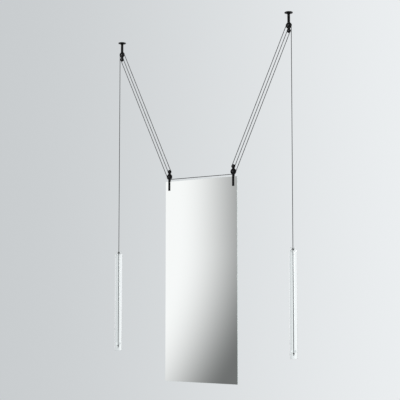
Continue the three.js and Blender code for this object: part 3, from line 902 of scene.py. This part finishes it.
def stopper(side):
    node = f"stopper_{side}"
    span = Span(node)
    top, bottom = span.high.z, span.low.z
    wide = span.size.x / 2
    taper = STOPPER_TAPER * (top - bottom)
    bore = CORD_RADIUS + CLEARANCE
    outline = [(bore, top), (wide, top), (wide - taper, bottom), (bore, bottom)]
    rounded = soften(outline, STOPPER_ROUND, closed=True)
    made = lathe(node + "_moulded", rounded, (span.middle.x, 0, 0), closed=True, steps=ROD_STEPS)
    stand_for(made, STOPPER, node)


def base_plug(side):
    node = f"base_plug_{side}"
    span = Span(node)
    bore = CORD_RADIUS + CLEARANCE
    radius = span.size.x / 2
    outline = [(bore, span.high.z), (radius, span.high.z), (radius, span.low.z), (bore, span.low.z)]
    rounded = soften(outline, PLUG_ROUND, closed=True)
    made = lathe(node + "_turned", rounded, (span.middle.x, 0, 0), closed=True, steps=ROD_STEPS)
    stand_for(made, PLASTIC, node)


# The middle of the cord through its knot, in mm from the middle of the knot.
KNOT = [
    (0.0, 0.0, 7.6), (0.2, -0.2, 5.4), (2.4, -2.0, 3.2), (3.5, -1.2, 0.8), (1.6, 1.9, -1.4),
    (-2.1, 2.9, -1.2), (-3.6, 0.5, 0.5), (-2.2, -2.6, 1.7), (1.1, -3.0, 0.2), (3.0, -0.5, -1.8),
    (1.2, 1.3, -3.8), (0.0, 0.2, -6.0), (0.0, 0.0, -8.0),
]


def tail_cord(side):
    """The cord through the stopper and the tube to its knot and its sealed tip."""
    node = f"tail_cord_{side}"
    span = Span(node)
    plug = Span(f"base_plug_{side}")
    x = span.middle.x
    middle = plug.low.z - CLEARANCE - KNOT_REACH
    knot = [Vector((x, 0, middle)) + MM * Vector(p) for p in KNOT]
    path = [Vector((x, 0, span.high.z)), *smooth(knot), Vector((x, 0, span.low.z))]
    stand_for(tube(node + "_braid", path, sides=KNOT_SIDES), BRAID, node)


def smooth(points, steps=6):
    """A curve through the points (Catmull-Rom)."""
    made = []
    for i in range(len(points) - 1):
        a, b = points[max(i - 1, 0)], points[i]
        c, d = points[i + 1], points[min(i + 2, len(points) - 1)]
        for step in range(steps):
            t = step / steps
            made.append(
                0.5 * (2 * b + (c - a) * t + (2 * a - 5 * b + 4 * c - d) * t * t
                       + (3 * b - a - 3 * c + d) * t ** 3)
            )
    return made + [points[-1]]


# ---------------------------------------------------------------- the object


def make_object():
    large = turned_black(Span("upper_large_sheave_right").size.z)
    small = turned_black(Span("upper_small_sheave_right").size.z)
    for side in SIDES:
        ceiling_plate(side)
        plate_screw("outer", side)
        plate_screw("inner", side)
        hanger_rod(side)
        mirror_bar(side)
        for level in ("upper", "lower"):
            sheave(f"{level}_large", side, large, recessed=True)
            sheave(f"{level}_small", side, small, recessed=False)
            axle(f"{level}_large", side)
            axle(f"{level}_small", side)
            grub_screw(level, side)
        pad("front", side)
        pad("rear", side)
        glass_tube(side)
        stopper(side)
        base_plug(side)
        tail_cord(side)
    mirror_glass()
    cross_cord()
    backing = frame["nodes"]["mirror_backing"]
    backing.data.materials.clear()
    backing.data.materials.append(backing_paint())


# ---------------------------------------------------------------- light and background

FLOOR_DEPTH = 2.5  # below the ceiling
FLOOR_RADIUS = 2.4
FLOOR_COLOUR = (0.78, 0.79, 0.80)

ROOM_LIGHT = (0.62, 0.62, 0.6262)  # on matt surfaces, from all round
PALE = (0.86, 0.885, 0.90)
SHADED = (0.58, 0.605, 0.62)
SHADED_BEARING = 75  # degrees to the left of +Y
SHADED_REACH = (28, 62)  # degrees to each side of that, from all shaded to all pale
GREY = (0.20, 0.205, 0.21)
GREY_FROM = (20, 45)  # degrees of elevation, from the walls to the grey
GLASS_PALER = 1.1

# The grey panels that the mirror shows: bearings in degrees from the way to the viewer.
PANEL = (0.168, 0.173, 0.172)
WHITE = (1.0, 1.005, 1.005)
PANEL_OUTSIDE = (27.8, 33.6)
PANEL_INSIDE = (25, 12)
BETWEEN_PANELS = 0.75  # how far the room between them goes from the grey to white
LEAN_FROM = 3.5  # degrees of elevation below which the panels lean outwards
LEAN_DEPTH = 14  # degrees
LEAN = 0.06
LEAN_POWER = 1.8

# name, place, diameter, watts
LAMPS = [
    ("key", (-2.2, -2.8, 1.9), 2.2, 90),
    ("fill", (3.2, -2.2, -0.8), 2.6, 45),
    ("back", (0.5, 3.4, 0.4), 2.2, 40),
]
LAMPS_AIM = (0, 0, -1.2)


def make_floor():
    bpy.ops.mesh.primitive_circle_add(
        vertices=128, radius=FLOOR_RADIUS, fill_type="NGON", location=(0, 0, -FLOOR_DEPTH)
    )
    floor = bpy.context.object
    floor.name = "floor"
    surface = Surface("pale_floor", FLOOR_COLOUR, 0.9)
    floor.data.materials.append(surface.material)


def area_light(name, place, size, power):
    data = bpy.data.lights.new(name, "AREA")
    data.shape = "DISK"
    data.size = size
    data.energy = power
    light = bpy.data.objects.new(name, data)
    bpy.context.collection.objects.link(light)
    light.location = place
    light.rotation_euler = (Vector(LAMPS_AIM) - Vector(place)).to_track_quat("-Z", "Y").to_euler()
    light.visible_transmission = False  # glass shows the room, and not the lamps


class Room(Tree):
    """The world: what matt surfaces get, what the camera sees, and what glass and gloss show."""

    def __init__(self):
        world = bpy.data.worlds.new("room")
        bpy.context.scene.world = world
        world.use_nodes = True
        super().__init__(world.node_tree)
        self.nodes.clear()
        where = self.nodes.new("ShaderNodeTexCoord").outputs["Generated"]
        split = self.nodes.new("ShaderNodeSeparateXYZ")
        self.links.new(where, split.inputs[0])
        self.x, self.y, self.z = (split.outputs[i] for i in ("X", "Y", "Z"))

    def ease(self, value, start, end, low, high):
        return self.spread(value, start, end, low, high, "SMOOTHSTEP")

    def in_degrees(self, angle):
        return self.math("MULTIPLY", angle, math.degrees(1))

    def bearing(self, ahead):
        """Degrees towards -X from the way ahead, which is Y or its opposite."""
        return self.in_degrees(self.math("ARCTAN2", self.math("MULTIPLY", self.x, -1), ahead))

    def elevation(self):
        return self.in_degrees(self.math("ARCSINE", self.z))

    def mix(self, factor, first, second):
        node = self.nodes.new("ShaderNodeMix")
        node.data_type = "RGBA"
        self.links.new(factor, node.inputs["Factor"])
        for colour, socket in zip((first, second), (node.inputs[6], node.inputs[7])):
            self.feed((*colour, 1) if isinstance(colour, tuple) else colour, socket)
        return node.outputs[2]

    def steep(self):
        """From 0 at the walls to 1 at the ceiling and the ground."""
        return self.ease(self.math("ABSOLUTE", self.elevation()), *GREY_FROM, 0, 1)

    def wall(self, level):
        """Pale all round, and a little darker behind the object's left side."""
        off = self.math("ABSOLUTE", self.math("SUBTRACT", self.bearing(self.y), SHADED_BEARING))
        shaded, pale = (tuple(level * part for part in colour) for colour in (SHADED, PALE))
        return self.mix(self.ease(off, *SHADED_REACH, 0, 1), shaded, pale)

    def seen_through(self):
        """What clear glass shows: the walls, a little paler, between a grey ceiling and ground."""
        return self.mix(self.steep(), self.wall(GLASS_PALER), GREY)

    def reflected(self):
        """A white room, grey above and below, with a soft grey panel on each side of the viewer.

        The panels lean outwards below.
        """
        bearing = self.math("ABSOLUTE", self.bearing(self.math("MULTIPLY", self.y, -1)))
        below = self.math("MAXIMUM", self.math("SUBTRACT", LEAN_FROM, self.elevation()), 0)
        depth = self.math("MINIMUM", below, LEAN_DEPTH)
        lean = self.math("MULTIPLY", self.math("POWER", depth, LEAN_POWER), LEAN)
        place = self.math("SUBTRACT", bearing, lean)
        outside = self.ease(place, *PANEL_OUTSIDE, 0, 1)
        inside = self.ease(place, *PANEL_INSIDE, 0, BETWEEN_PANELS)
        around = self.mix(self.math("ADD", outside, inside), PANEL, WHITE)
        return self.mix(self.steep(), around, GREY)

    def finish(self):
        path = self.nodes.new("ShaderNodeLightPath").outputs
        colour = self.mix(path["Is Glossy Ray"], ROOM_LIGHT, self.reflected())
        colour = self.mix(path["Is Transmission Ray"], colour, self.seen_through())
        colour = self.mix(path["Is Camera Ray"], colour, self.wall(1))
        shader = self.nodes.new("ShaderNodeBackground")
        self.links.new(colour, shader.inputs["Color"])
        output = self.nodes.new("ShaderNodeOutputWorld")
        self.links.new(shader.outputs[0], output.inputs["Surface"])


make_object()
make_floor()
Room().finish()
for lamp in LAMPS:
    area_light(*lamp)
bpy.context.scene.view_settings.view_transform = "Standard"
